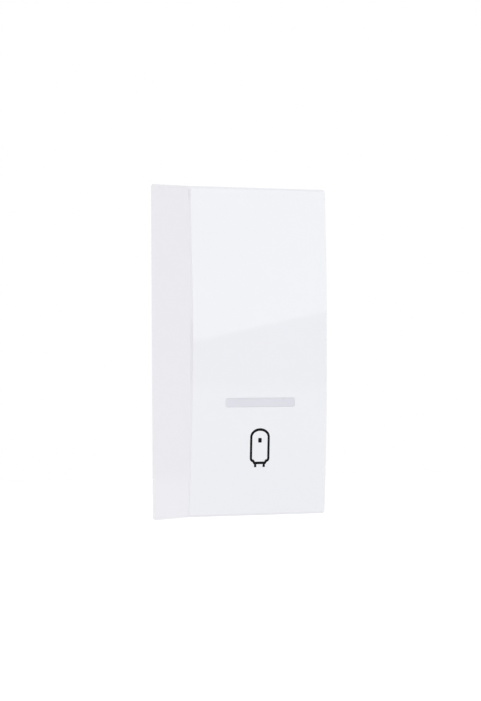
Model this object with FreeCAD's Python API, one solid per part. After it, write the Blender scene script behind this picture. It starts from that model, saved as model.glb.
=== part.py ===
import FreeCAD, Part
import math
import os

# Illuminated push button switch module. All sizes are in millimetres.
# X runs across the width, the key faces -Y and Z points up.
# The plane y = 0 is the rear face of the flange, which rests on the support frame.

Vector = FreeCAD.Vector

# Key cap, seen from the front. Depths are measured forward from its rear edge.
cap_width = 22.5
cap_height = 45.0
cap_depth_top = 9.2
cap_depth_bottom = 8.6
cap_inset = 0.77
cap_crown = 0.7
cap_corner_radius = 0.45
cap_front_chamfer = 0.25
cap_side_wall = 1.2
cap_front_wall = 1.3
cap_gap_to_seat = 1.8
cap_rib_thickness = 0.8
cap_rib_inset = 1.6
cap_cross_ribs = 3
cap_cross_rib_spacing = 12.0
cap_catch_spacing = 18.0
cap_catch_length = 4.0
cap_catch_depth = 0.6
cap_catch_grip = 0.15
cap_catch_gap = 0.05

# Light guide and the slot that it fills.
slot_width = 10.6
slot_height = 1.2
slot_corner_radius = 0.28
slot_above_chamber = 1.52
lens_clearance = 0.01
lens_recess = 0.02
guide_flange_gap_to_wall = 3.75
guide_flange_height = 2.6
guide_shoulder_width = 8.0
guide_shoulder_height = 0.2
guide_root_width = 4.6
guide_root_height = 2.2
guide_end_width = 3.4
guide_end_height = 2.0
guide_end_gap_to_rim = 0.3
guide_window_clearance = 0.2

# Key carrier.
plate_thickness = 1.0
plate_front_clearance = 0.2
plate_side_clearance = 0.15
hinge_pin_radius = 0.8
hinge_clearance = 0.05
hinge_gap_to_wall = 0.5
hinge_gap_to_floor = 0.8
lug_width = 2.05
lug_side_clearance = 0.15
lug_wall = 0.9
nib_radius = 0.8
nib_length = 3.0
nib_gap = 0.05
hook_width = 2.4
hook_thickness = 0.95
hook_gap_to_wall = 0.25
hook_side_clearance = 0.3
hook_nose_height = 0.9
hook_nose_length = 0.8
hook_nose_ramp = 0.45
hook_nose_gap = 0.05

# Base housing.
base_wall = 1.0
base_corner_radius = 0.5
rim_gap_to_plate = 1.9
floor_thickness = 1.2
flange_gap_to_cap_side = 0.35
flange_gap_to_cap_end = 0.3
flange_thickness = 0.8
flange_side_overhang = 0.7
flange_end_overhang = 0.8
flange_corner_radius = 0.8
clip_width = 6.4
clip_thickness = 1.0
clip_notch_clearance = 0.3
frame_plate_thickness = 1.5
clip_nose_gap = 0.05
clip_nose_height = 0.8
clip_nose_flat = 0.35
clip_nose_ramp = 1.0
hook_window_clearance = 0.2
hook_window_bridge = 1.5
hook_window_length = 2.8

# Contact chamber and its cover.
chamber_wall = 0.75
chamber_floor_thickness = 1.1
cover_thickness = 0.9
cover_side_clearance = 0.2
cover_boss_height = 3.2
cover_screw_radius = 0.6
cover_screw_head_radius = 1.1
cover_screw_head_height = 0.6
cover_screw_length = 3.4
cover_screw_edge = 1.2
cover_screw_wall = 1.2

# Plunger.
head_width = 3.4
head_height = 3.2
head_gap_to_plate = 0.9
head_clearance = 0.1
wing_gap_to_cover = 0.1
wing_thickness = 1.1
wing_width = 3.0
wing_clearance = 0.15
stem_gap_to_tip = 0.75
stem_height = 3.4
stem_window_web = 0.2
stem_window_clearance = 0.05
stem_end_thickness = 1.15
spigot_radius = 0.45
spigot_height = 0.7
pip_height = 0.6

# Springs.
spring_mean_radius = 0.8
spring_wire_radius = 0.15
spring_wire_sides = 5
spring_side_clearance = 0.2
spring_wall_clearance = 0.15
plunger_spring_turns = 4
contact_spring_length = 2.15
contact_spring_turns = 2

# Contacts.
bridge_thickness = 0.6
bridge_margin_past_spring = 0.05
bridge_end_margin = 1.4
bridge_end_clearance = 0.6
contact_gap = 1.25
tip_radius = 0.85
tip_height = 0.5
strap_width = 2.4
strap_thickness = 0.6
strap_end_margin = 1.5
strap_gap_to_box_wall = 0.5
strap_slot_clearance = 0.1

# Terminal box and its rear cover.
box_side_wall = 0.9
box_end_wall = 1.05
box_corner_radius = 0.5
box_floor_recess = 0.2
box_rib_thickness = 0.6
rear_cover_gap = 0.7
rear_cover_thickness = 1.1
rear_cover_lip_depth = 0.5
rear_cover_lip_thickness = 0.6
rear_cover_lip_clearance = 0.1
rear_boss_radius = 2.2
rear_screw_radius = 0.8
rear_screw_head_radius = 1.7
rear_screw_head_height = 0.9
rear_screw_length = 5.5
wire_entry_radius = 1.3

# Terminals.
terminal_height = 5.4
terminal_rib_gap = 0.1
terminal_side_gap = 0.3
terminal_end_gap = 0.1
terminal_row_gap = 10.5
terminal_wire_radius = 1.2
terminal_wire_inset = 3.7
terminal_wire_depth = 4.8
terminal_screw_radius = 1.1
terminal_screw_length = 2.0
terminal_screw_sink = 0.3
terminal_screw_wall = 0.5
terminal_access_radius = 1.4
terminal_access_margin = 0.2

# Lamp circuit.
board_side_clearance = 0.6
board_end_clearance = 0.2
board_gap_to_floor = 0.8
board_thickness = 1.0
board_above_lamp_pin = 1.4
post_side_inset = 1.2
post_low_inset = 1.8
post_high_inset = 3.1
post_radius = 1.1
pad_width = 2.0
peg_radius = 0.6
peg_clearance = 0.05
peg_head_radius = 0.95
peg_head_height = 0.4
lamp_pin_inset = 0.6
lamp_pin_width = 0.8
lamp_pin_clearance = 0.1
lamp_pin_projection = 0.4
led_width = 3.2
led_height = 2.4
led_rise = 0.15
led_body_depth = 1.2
led_lens_radius = 1.0
led_lens_top_radius = 0.8
led_lens_depth = 0.4
resistor_length = 6.4
resistor_height = 3.2
resistor_depth = 0.7
resistor_end_length = 0.8
resistor_end_rise = 0.06
diode_length = 4.4
diode_height = 2.7
diode_depth = 2.2
diode_draft = 0.15
diode_standoff = 0.2
diode_tab_width = 1.4
diode_tab_thickness = 0.25
diode_above_led = 5.85
resistor_above_diode = 4.0

# Rubber stop buffers on the bottom rim.
buffer_spacing = 5.2
buffer_width = 3.4
buffer_height = 0.4
buffer_edge_clearance = 0.05

# Screwdriver slots.
screw_slot_width = 0.4
screw_slot_depth = 0.35

# Cap and carrier sizes that follow.
cap_middle_depth = (cap_depth_top + cap_depth_bottom) / 2
cap_shallow_depth = min(cap_depth_top, cap_depth_bottom)
cap_draft = cap_inset / cap_middle_depth
cap_full_depth = cap_depth_top + cap_crown + cap_front_wall
cap_inner_half_width = cap_width / 2 - cap_side_wall
cap_inner_half_height = cap_height / 2 - cap_side_wall
guide_flange_width = 2 * (cap_inner_half_width - guide_flange_gap_to_wall)
plate_front_y = cap_front_wall + plate_front_clearance - cap_gap_to_seat - cap_shallow_depth
plate_rear_y = plate_front_y + plate_thickness
plate_inset = cap_draft * (-cap_gap_to_seat - plate_front_y) + plate_side_clearance
plate_half_width = cap_inner_half_width - plate_inset
plate_half_height = cap_inner_half_height - plate_inset
cap_rib_x = plate_half_width - cap_rib_inset

# Base sizes that follow.
base_rim_y = plate_rear_y + rim_gap_to_plate
floor_front_y = -floor_thickness
flange_half_width = cap_inner_half_width - flange_gap_to_cap_side
flange_half_height = cap_inner_half_height - flange_gap_to_cap_end
base_half_width = flange_half_width - flange_side_overhang
base_half_height = flange_half_height - flange_end_overhang
base_inner_half_width = base_half_width - base_wall
base_inner_half_height = base_half_height - base_wall

# Hinge and hooks.
lug_radius = hinge_pin_radius + lug_wall
hinge_y = floor_front_y - lug_radius - hinge_gap_to_floor
hinge_z = base_inner_half_height - lug_radius - hinge_gap_to_wall
lug_outer_x = base_inner_half_width - lug_side_clearance
lug_inner_x = lug_outer_x - lug_width
hook_outer_x = base_inner_half_width - hook_side_clearance
hook_inner_x = hook_outer_x - hook_width
hook_outer_z = hook_gap_to_wall - base_inner_half_height
hook_inner_z = hook_outer_z + hook_thickness
hook_window_front_y = base_rim_y + hook_window_bridge
hook_window_rear_y = hook_window_front_y + hook_window_length
hook_nose_front_y = hook_window_front_y + hook_nose_gap
hook_nose_rear_y = hook_nose_front_y + hook_nose_length

# Plunger, cover and contacts, from the cover inwards.
spring_outer_radius = spring_mean_radius + spring_wire_radius
bridge_height = 2 * (spring_outer_radius + bridge_margin_past_spring)
plunger_spring_offset = stem_height / 2 + spring_side_clearance + spring_outer_radius
chamber_half_height = plunger_spring_offset + spring_outer_radius + spring_wall_clearance
chamber_outer_half_height = chamber_half_height + chamber_wall
press_z = hook_inner_z + hook_side_clearance + chamber_outer_half_height
cover_front_y = base_rim_y
cover_rear_y = cover_front_y + cover_thickness
cover_half_width = base_inner_half_width - cover_side_clearance
cover_screw_x = cover_half_width - cover_screw_edge
chamber_half_width = cover_screw_x - cover_screw_wall
bridge_half_length = chamber_half_width - bridge_end_clearance
tip_x = bridge_half_length - bridge_end_margin
stem_width = 2 * (tip_x - tip_radius - stem_gap_to_tip)
head_front_y = plate_rear_y + head_gap_to_plate
wing_front_y = cover_rear_y + wing_gap_to_cover
wing_rear_y = wing_front_y + wing_thickness
wing_half_height = chamber_half_height - wing_clearance
stem_window_front_y = wing_rear_y + stem_window_web
contact_spring_seat_y = stem_window_front_y + contact_spring_length
bridge_rear_y = contact_spring_seat_y + bridge_thickness
stem_end_y = bridge_rear_y + stem_end_thickness
bridge_tip_face_y = bridge_rear_y + tip_height
fixed_tip_face_y = bridge_tip_face_y + contact_gap
strap_high_front_y = fixed_tip_face_y + tip_height
chamber_floor_y = strap_high_front_y + strap_thickness
chamber_rear_y = chamber_floor_y + chamber_floor_thickness

# Terminals and their box.
box_inner_half_width = tip_x + strap_width / 2 + strap_gap_to_box_wall
terminal_inner_x = box_rib_thickness / 2 + terminal_rib_gap
terminal_outer_x = box_inner_half_width - terminal_side_gap
terminal_x = (terminal_inner_x + terminal_outer_x) / 2
terminal_width = terminal_outer_x - terminal_inner_x
box_half_width = box_inner_half_width + box_side_wall
box_inner_half_height = terminal_row_gap / 2 + terminal_height + terminal_end_gap
box_half_height = box_inner_half_height + box_end_wall
box_middle_z = press_z + chamber_half_height + box_half_height
terminal_outer_z = box_middle_z - box_inner_half_height + terminal_end_gap
terminal_inner_z = terminal_outer_z + terminal_height
terminal_wire_z = terminal_outer_z + terminal_wire_inset
box_floor_y = -box_floor_recess
strap_low_rear_y = box_floor_y + strap_thickness
terminal_screw_y = chamber_rear_y + terminal_access_radius + terminal_access_margin
terminal_rear_y = terminal_screw_y + terminal_screw_radius + terminal_screw_wall
box_rear_y = terminal_rear_y + rear_cover_gap
rear_cover_rear_y = box_rear_y + rear_cover_thickness

# Lamp circuit places.
lens_z = press_z + chamber_outer_half_height + slot_above_chamber
board_half_width = base_inner_half_width - board_side_clearance
board_rear_y = floor_front_y - board_gap_to_floor
board_front_y = board_rear_y - board_thickness
board_low_z = press_z + chamber_outer_half_height + board_end_clearance
lamp_pin_z = 2 * box_middle_z - terminal_inner_z + lamp_pin_inset
board_high_z = lamp_pin_z + board_above_lamp_pin
post_x = board_half_width - post_side_inset
led_z = lens_z + led_rise
diode_z = led_z + diode_above_led
resistor_z = diode_z + resistor_above_diode
guide_end_y = base_rim_y - guide_end_gap_to_rim


def block(x_limits, y_limits, z_limits):
    """Box between two limits on each axis."""
    low = Vector(min(x_limits), min(y_limits), min(z_limits))
    high = Vector(max(x_limits), max(y_limits), max(z_limits))
    size = high - low
    return Part.makeBox(size.x, size.y, size.z, low)


def block_about(x, z, half_width, half_height, y_limits):
    """Box centred on x and z."""
    x_limits = (x - half_width, x + half_width)
    z_limits = (z - half_height, z + half_height)
    return block(x_limits, y_limits, z_limits)


def rod(radius, start, end):
    """Cylinder between two points."""
    along = end - start
    return Part.makeCylinder(radius, along.Length, start, along)


def taper(start_radius, start, end_radius, end):
    """Cone between two points."""
    along = end - start
    return Part.makeCone(start_radius, end_radius, along.Length, start, along)


def joined(shapes):
    """One solid from overlapping or touching shapes."""
    return shapes[0].multiFuse(shapes[1:]).removeSplitter()


def across(shape):
    """The same shape on the other side of the centre plane."""
    return shape.mirror(Vector(0, 0, 0), Vector(1, 0, 0))


def pair(shape):
    """A shape and its opposite number."""
    return [shape, across(shape)]


def upside(shape):
    """The same shape on the other side of the middle of the terminal box."""
    return shape.mirror(Vector(0, 0, box_middle_z), Vector(0, 0, 1))


def rounded_outline(half_width, half_height, radius, x, y, z):
    """Closed wire facing -Y with four round corners."""
    corners = [(1, 1, 0), (-1, 1, 90), (-1, -1, 180), (1, -1, 270)]
    arcs = []
    for side, rise, turn in corners:
        centre = Vector(x + side * (half_width - radius), y, z + rise * (half_height - radius))
        points = []
        for step in (0, 45, 90):
            angle = math.radians(turn + step)
            points.append(centre + Vector(radius * math.cos(angle), 0, radius * math.sin(angle)))
        arcs.append(Part.Arc(points[0], points[1], points[2]).toShape())
    edges = []
    for number, arc in enumerate(arcs):
        following = arcs[(number + 1) % len(arcs)]
        edges.append(arc)
        edges.append(Part.makeLine(arc.Vertexes[-1].Point, following.Vertexes[0].Point))
    return Part.Wire(edges)


def rounded_block(half_width, half_height, radius, z, y_limits):
    """Plate with round corners, centred on x = 0."""
    outline = rounded_outline(half_width, half_height, radius, 0, min(y_limits), z)
    return Part.Face(outline).extrude(Vector(0, max(y_limits) - min(y_limits), 0))


def square_outline(half_width, half_height, y, z):
    """Closed rectangle facing -Y, centred on x = 0."""
    points = []
    for side, rise in ((-1, -1), (1, -1), (1, 1), (-1, 1), (-1, -1)):
        points.append(Vector(side * half_width, y, z + rise * half_height))
    return Part.makePolygon(points)


def drawn_out(corners, direction):
    """Flat outline drawn out into a solid."""
    outline = Part.makePolygon(corners + corners[:1])
    return Part.Face(outline).extrude(direction)


def draft_profile(full_size, wall, start_depth):
    """Trapezoid of two leaning cap walls, as pairs of half size and y."""
    corners = []
    for depth, order in ((start_depth, (-1, 1)), (cap_full_depth, (1, -1))):
        half = full_size / 2 - wall - cap_draft * depth
        for side in order:
            corners.append((side * half, -cap_gap_to_seat - depth))
    return corners


def cap_body(start_depth, wall):
    """Drafted block of the cap, set in by a wall."""
    plan = [Vector(x, y, -cap_height) for x, y in draft_profile(cap_width, wall, start_depth)]
    side = [Vector(-cap_width, y, z) for z, y in draft_profile(cap_height, wall, start_depth)]
    between_sides = drawn_out(plan, Vector(0, 0, 2 * cap_height))
    between_ends = drawn_out(side, Vector(2 * cap_width, 0, 0))
    return between_sides.common(between_ends)


def crown_circle():
    """Circle of the crowned front in the centre plane."""
    half_height = cap_height / 2 - cap_inset
    top = Vector(0, -cap_gap_to_seat - cap_depth_top, half_height)
    middle = Vector(0, -cap_gap_to_seat - cap_middle_depth - cap_crown, 0)
    bottom = Vector(0, -cap_gap_to_seat - cap_depth_bottom, -half_height)
    return Part.Arc(top, middle, bottom).toShape().Curve


def behind_crown(set_back):
    """Everything behind the crowned front surface, set back by a wall."""
    circle = crown_circle()
    radius = circle.Radius - set_back
    reach = cap_height / 2 + cap_front_wall
    points = []
    for z in (reach, 0, -reach):
        y = circle.Center.y - math.sqrt(radius ** 2 - (z - circle.Center.z) ** 2)
        points.append(Vector(-cap_width, y, z))
    front = Part.Arc(points[0], points[1], points[2]).toShape()
    rear_low = Vector(-cap_width, 0, -reach)
    rear_high = Vector(-cap_width, 0, reach)
    sides = [
        Part.makeLine(points[2], rear_low),
        Part.makeLine(rear_low, rear_high),
        Part.makeLine(rear_high, points[0]),
    ]
    outline = Part.Wire([front] + sides)
    return Part.Face(outline).extrude(Vector(2 * cap_width, 0, 0))


def cap_shell():
    """Hollow drafted cap with round corners and eased front edges."""
    block_of_cap = cap_body(0, 0)
    corners = [edge for edge in block_of_cap.Edges if edge.BoundBox.YLength > cap_middle_depth]
    solid = block_of_cap.makeFillet(cap_corner_radius, corners).common(behind_crown(0))
    front = min(solid.Faces, key=lambda face: face.CenterOfMass.y)
    solid = solid.makeChamfer(cap_front_chamfer, front.Edges)
    return solid.cut(cap_body(-cap_side_wall, cap_side_wall).common(behind_crown(cap_front_wall)))


def cap_ribs():
    """Ribs from the front wall down to the carrier plate."""
    depth = (plate_front_y, -cap_gap_to_seat - cap_full_depth)
    half = cap_rib_thickness / 2
    end_z = plate_half_height - cap_rib_thickness
    ribs = pair(block((cap_rib_x - half, cap_rib_x + half), depth, (-end_z, end_z)))
    for number in range(cap_cross_ribs):
        z = (number - (cap_cross_ribs - 1) / 2) * cap_cross_rib_spacing
        ribs.append(block((-cap_rib_x, cap_rib_x), depth, (z - half, z + half)))
    return joined(ribs).common(behind_crown(cap_front_wall / 2))


def cap_catches():
    """Catches on the side walls that hold the carrier plate against the ribs."""
    front_y = plate_rear_y + cap_catch_gap
    inside_wall = cap_body(0, cap_side_wall / 2)
    x_limits = (plate_half_width - cap_catch_grip, cap_width / 2)
    catches = []
    for z in (-cap_catch_spacing / 2, cap_catch_spacing / 2):
        z_limits = (z - cap_catch_length / 2, z + cap_catch_length / 2)
        catch = block(x_limits, (front_y, front_y + cap_catch_depth), z_limits)
        catches = catches + pair(catch.common(inside_wall))
    return catches


def key_cap():
    shell = joined([cap_shell(), cap_ribs()] + cap_catches())
    slot_y = (-cap_gap_to_seat - cap_full_depth, plate_front_y)
    return shell.cut(rounded_block(slot_width / 2, slot_height / 2, slot_corner_radius, lens_z, slot_y))


def light_guide():
    """Lens bar, flange, shoulder and tapered stem in one clear piece."""
    front_y = -cap_gap_to_seat - cap_full_depth
    half_width = slot_width / 2 - lens_clearance
    half_height = slot_height / 2 - lens_clearance
    flange_rear_y = plate_front_y - guide_shoulder_height
    lens = rounded_block(half_width, half_height, slot_corner_radius, lens_z, (front_y, flange_rear_y))
    lens = lens.common(behind_crown(lens_recess))
    flange_y = (front_y, flange_rear_y)
    flange = block_about(0, lens_z, guide_flange_width / 2, guide_flange_height / 2, flange_y)
    flange = flange.common(behind_crown(cap_front_wall))
    shoulder_y = (flange_rear_y, plate_front_y)
    shoulder = block_about(0, lens_z, guide_shoulder_width / 2, guide_flange_height / 2, shoulder_y)
    root = square_outline(guide_root_width / 2, guide_root_height / 2, plate_front_y, lens_z)
    end = square_outline(guide_end_width / 2, guide_end_height / 2, guide_end_y, lens_z)
    stem = Part.makeLoft([root, end], True, True)
    return joined([lens, flange, shoulder, stem])


def carrier_lug():
    """Hinge ear with its bore."""
    axis_start = Vector(lug_inner_x, hinge_y, hinge_z)
    axis_end = Vector(lug_outer_x, hinge_y, hinge_z)
    z_limits = (hinge_z - lug_radius, hinge_z + lug_radius)
    ear = block((lug_inner_x, lug_outer_x), (plate_rear_y, hinge_y), z_limits)
    lug = joined([ear, rod(lug_radius, axis_start, axis_end)])
    return lug.cut(rod(hinge_pin_radius + hinge_clearance, axis_start, axis_end))


def side_profile(points, x_start, x_end):
    """Outline of (y, z) points drawn out along X."""
    return drawn_out([Vector(x_start, y, z) for y, z in points], Vector(x_end - x_start, 0, 0))


def carrier_hook():
    """Leg whose nose catches in a base window and keeps the key from tilting out."""
    nose_z = hook_outer_z - hook_nose_height
    end_y = hook_nose_rear_y + hook_nose_ramp
    points = [
        (plate_rear_y, hook_inner_z),
        (end_y, hook_inner_z),
        (end_y, hook_outer_z),
        (hook_nose_rear_y, nose_z),
        (hook_nose_front_y, nose_z),
        (hook_nose_front_y, hook_outer_z),
        (plate_rear_y, hook_outer_z),
    ]
    return side_profile(points, hook_inner_x, hook_outer_x)


def key_carrier():
    plate_y = (plate_front_y, plate_rear_y)
    plate = block_about(0, 0, plate_half_width, plate_half_height, plate_y)
    nib_y = head_front_y - nib_gap - nib_radius
    nib_start = Vector(-nib_length / 2, nib_y, press_z)
    nib = rod(nib_radius, nib_start, Vector(nib_length / 2, nib_y, press_z))
    carrier = joined([plate, nib] + pair(carrier_lug()) + pair(carrier_hook()))
    half_width = guide_root_width / 2 + guide_window_clearance
    half_height = guide_root_height / 2 + guide_window_clearance
    return carrier.cut(block_about(0, lens_z, half_width, half_height, plate_y))


def hinge_pin():
    start = Vector(-base_half_width, hinge_y, hinge_z)
    return rod(hinge_pin_radius, start, Vector(base_half_width, hinge_y, hinge_z))


def base_shell():
    """Floor, outer walls and flange."""
    outer = rounded_block(base_half_width, base_half_height, base_corner_radius, 0, (base_rim_y, 0))
    flange_y = (-flange_thickness, 0)
    flange = rounded_block(flange_half_width, flange_half_height, flange_corner_radius, 0, flange_y)
    inside_y = (base_rim_y, floor_front_y)
    inside = block_about(0, 0, base_inner_half_width, base_inner_half_height, inside_y)
    shell = joined([outer, flange]).cut(inside)
    notch = clip_width / 2 + clip_notch_clearance
    for side in (-1, 1):
        z_limits = (side * base_half_height, side * cap_height / 2)
        shell = shell.cut(block((-notch, notch), flange_y, z_limits))
    return shell


def frame_clips():
    """Snap tongues at the top and the bottom."""
    inner = base_half_height - clip_thickness
    outer = base_half_height
    tip = outer + clip_nose_height
    nose_front_y = frame_plate_thickness + clip_nose_gap
    nose_rear_y = nose_front_y + clip_nose_flat
    points = [
        (0, inner),
        (0, outer),
        (nose_front_y, outer),
        (nose_front_y, tip),
        (nose_rear_y, tip),
        (nose_rear_y + clip_nose_ramp, outer),
        (nose_rear_y + clip_nose_ramp, inner),
    ]
    top = side_profile(points, -clip_width / 2, clip_width / 2)
    return [top, top.mirror(Vector(0, 0, 0), Vector(0, 0, 1))]


def chamber_block():
    """Solid outside of the contact chamber with the cover bosses."""
    half_width = chamber_half_width + chamber_wall
    front = block_about(0, press_z, half_width, chamber_outer_half_height, (cover_rear_y, 0))
    bosses = block_about(0, press_z, base_inner_half_width, cover_boss_height / 2, (cover_rear_y, 0))
    z_limits = (press_z - chamber_outer_half_height, box_middle_z - box_half_height)
    rear = block((-box_half_width, box_half_width), (0, chamber_rear_y), z_limits)
    return joined([front, bosses, rear])


def spring_heights():
    """Places of the two plunger springs."""
    return [press_z - plunger_spring_offset, press_z + plunger_spring_offset]


def chamber_hollow():
    """Space inside the contact chamber, with its spring spigots left standing."""
    y_limits = (cover_rear_y, chamber_floor_y)
    hollow = block_about(0, press_z, chamber_half_width, chamber_half_height, y_limits)
    for z in spring_heights():
        top = Vector(0, chamber_floor_y - spigot_height, z)
        hollow = hollow.cut(rod(spigot_radius, top, Vector(0, chamber_floor_y, z)))
    return hollow


def terminal_block():
    """Solid outside of the terminal box behind the floor."""
    y_limits = (floor_front_y, box_rear_y)
    return rounded_block(box_half_width, box_half_height, box_corner_radius, box_middle_z, y_limits)


def terminal_hollow():
    """Space inside the terminal box, with its rib and screw boss left standing."""
    y_limits = (box_floor_y, box_rear_y)
    hollow = block_about(0, box_middle_z, box_inner_half_width, box_inner_half_height, y_limits)
    rib_y = (box_floor_y, box_rear_y - rear_cover_lip_depth)
    rib = block_about(0, box_middle_z, box_rib_thickness / 2, box_inner_half_height, rib_y)
    boss = rod(rear_boss_radius, Vector(0, box_floor_y, box_middle_z), Vector(0, box_rear_y, box_middle_z))
    return hollow.cut(rib).cut(boss)


def rear_screw_hole():
    """Pilot hole for the rear cover screw."""
    start = Vector(0, rear_cover_rear_y - rear_screw_length, box_middle_z)
    return rod(rear_screw_radius, start, Vector(0, box_rear_y, box_middle_z))


def terminal_access():
    """Screwdriver holes in the end walls of the terminal box."""
    outer_z = box_middle_z - box_half_height
    inner_z = outer_z + box_end_wall
    holes = []
    for x in (-terminal_x, terminal_x):
        start = Vector(x, terminal_screw_y, outer_z)
        hole = rod(terminal_access_radius, start, Vector(x, terminal_screw_y, inner_z))
        holes = holes + [hole, upside(hole)]
    return holes


def strap_passages():
    """Slots for the contact straps and holes for the lamp pins."""
    gap = strap_slot_clearance
    wall_z = (press_z + chamber_half_height, box_middle_z - box_inner_half_height)
    x_limits = (tip_x - strap_width / 2 - gap, tip_x + strap_width / 2 + gap)
    slot = block(x_limits, (box_floor_y, strap_low_rear_y + gap), wall_z)
    half = lamp_pin_width / 2 + lamp_pin_clearance
    hole = block_about(terminal_x, lamp_pin_z, half, half, (floor_front_y, box_floor_y))
    return pair(slot) + pair(hole)


def hook_windows():
    """Openings in the bottom wall for the carrier hooks."""
    x_limits = (hook_inner_x - hook_window_clearance, hook_outer_x + hook_window_clearance)
    z_limits = (-cap_height / 2, -base_inner_half_height)
    return pair(block(x_limits, (hook_window_front_y, hook_window_rear_y), z_limits))


def peg_places():
    """Places of the two staked pegs, on a diagonal of the board."""
    return [(-post_x, board_low_z + post_low_inset), (post_x, board_high_z - post_high_inset)]


def board_posts():
    """Posts with heat staked pegs and plain pads that carry the circuit board."""
    posts = []
    for x, z in peg_places():
        rear = Vector(x, board_rear_y, z)
        front = Vector(x, board_front_y, z)
        posts.append(rod(post_radius, Vector(x, floor_front_y, z), rear))
        posts.append(rod(peg_radius, rear, front))
        posts.append(rod(peg_head_radius, front, front - Vector(0, peg_head_height, 0)))
        posts.append(block_about(-x, z, pad_width / 2, pad_width / 2, (board_rear_y, floor_front_y)))
    return posts


def cover_screw_holes():
    """Pilot holes for the cover screws."""
    start = Vector(cover_screw_x, cover_rear_y, press_z)
    end = Vector(cover_screw_x, cover_front_y + cover_screw_length, press_z)
    return pair(rod(cover_screw_radius, start, end))


def base_housing():
    shell = base_shell()
    housing = joined([shell] + frame_clips() + [chamber_block(), terminal_block()] + board_posts())
    for hole in [chamber_hollow(), terminal_hollow(), hinge_pin(), rear_screw_hole()]:
        housing = housing.cut(hole)
    for hole in cover_screw_holes() + hook_windows() + terminal_access() + strap_passages():
        housing = housing.cut(hole)
    return housing


def slot_across(centre, along, half_length, depth):
    """Screwdriver slot cut into a screw end that faces along."""
    across_slot = Vector(1, 0, 0)
    width_way = along.cross(across_slot)
    corner = centre - across_slot * half_length - width_way * (screw_slot_width / 2) - along * depth
    far = centre + across_slot * half_length + width_way * (screw_slot_width / 2)
    return block((corner.x, far.x), (corner.y, far.y), (corner.z, far.z))


def countersunk_screw(head_centre, inward, length, radius, head_radius, head_height):
    """Flat headed screw starting at its head face."""
    end = head_centre + inward * length
    neck = head_centre + inward * head_height
    screw = joined([taper(head_radius, head_centre, radius, neck), rod(radius, head_centre, end)])
    outward = inward * -1
    return screw.cut(slot_across(head_centre, outward, head_radius, screw_slot_depth))


def contact_cover():
    plate_y = (cover_front_y, cover_rear_y)
    plate = block_about(0, press_z, cover_half_width, chamber_outer_half_height, plate_y)
    opening_width = head_width / 2 + head_clearance
    opening_height = head_height / 2 + head_clearance
    plate = plate.cut(block_about(0, press_z, opening_width, opening_height, plate_y))
    for side in (-1, 1):
        face = Vector(side * cover_screw_x, cover_front_y, press_z)
        neck = face + Vector(0, cover_screw_head_height, 0)
        plate = plate.cut(taper(cover_screw_head_radius, face, cover_screw_radius, neck))
        plate = plate.cut(rod(cover_screw_radius, face, face + Vector(0, cover_thickness, 0)))
    return plate


def contact_cover_screws():
    face = Vector(cover_screw_x, cover_front_y, press_z)
    inward = Vector(0, 1, 0)
    head = cover_screw_head_radius
    height = cover_screw_head_height
    return pair(countersunk_screw(face, inward, cover_screw_length, cover_screw_radius, head, height))


def plunger():
    head = block_about(0, press_z, head_width / 2, head_height / 2, (head_front_y, wing_front_y))
    wings = block_about(0, press_z, wing_width / 2, wing_half_height, (wing_front_y, wing_rear_y))
    stem = block_about(0, press_z, stem_width / 2, stem_height / 2, (wing_front_y, stem_end_y))
    shapes = [head, wings, stem]
    for z in spring_heights():
        root = Vector(0, wing_rear_y, z)
        shapes.append(rod(spigot_radius, root, root + Vector(0, spigot_height, 0)))
    window_y = (stem_window_front_y, bridge_rear_y)
    window_half_height = bridge_height / 2 + stem_window_clearance
    window = block_about(0, press_z, stem_width / 2, window_half_height, window_y)
    return joined(shapes).cut(window)


def wire_section(centre, along):
    """Many sided section of spring wire, square to the way it runs."""
    out = Vector(1, 0, 0)
    side = along.cross(out).normalize()
    points = []
    for number in range(spring_wire_sides):
        angle = 2 * math.pi * number / spring_wire_sides
        offset = out * math.cos(angle) + side * math.sin(angle)
        points.append(centre + offset * spring_wire_radius)
    return Part.makePolygon(points + points[:1])


def coil_spring(z, rear_y, front_y, turns):
    """Compression spring along Y between two seats."""
    length = rear_y - front_y - 2 * spring_wire_radius
    pitch = length / turns
    helix = Part.makeHelix(pitch, length, spring_mean_radius)
    along = Vector(0, spring_mean_radius, pitch / (2 * math.pi))
    section = wire_section(Vector(spring_mean_radius, 0, 0), along)
    coil = Part.Wire(helix.Edges).makePipeShell([section], True, True)
    coil.rotate(Vector(0, 0, 0), Vector(1, 0, 0), -90)
    coil.translate(Vector(0, front_y + spring_wire_radius, z))
    return coil


def plunger_springs():
    springs = []
    for z in spring_heights():
        springs.append(coil_spring(z, chamber_floor_y, wing_rear_y, plunger_spring_turns))
    return springs


def contact_pressure_spring():
    return coil_spring(press_z, contact_spring_seat_y, stem_window_front_y, contact_spring_turns)


def contact_tip(face_y, root_y):
    """Contact button welded to its carrier."""
    return rod(tip_radius, Vector(tip_x, face_y, press_z), Vector(tip_x, root_y, press_z))


def bridge_contact_tips():
    return pair(contact_tip(bridge_tip_face_y, bridge_rear_y))


def fixed_contact_tips():
    return pair(contact_tip(fixed_tip_face_y, strap_high_front_y))


def bridge_contact():
    bar_y = (bridge_rear_y - bridge_thickness, bridge_rear_y)
    bar = block_about(0, press_z, bridge_half_length, bridge_height / 2, bar_y)
    seat = Vector(0, contact_spring_seat_y, press_z)
    pip = rod(spigot_radius, seat, seat - Vector(0, pip_height, 0))
    return joined([bar, pip])


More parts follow.
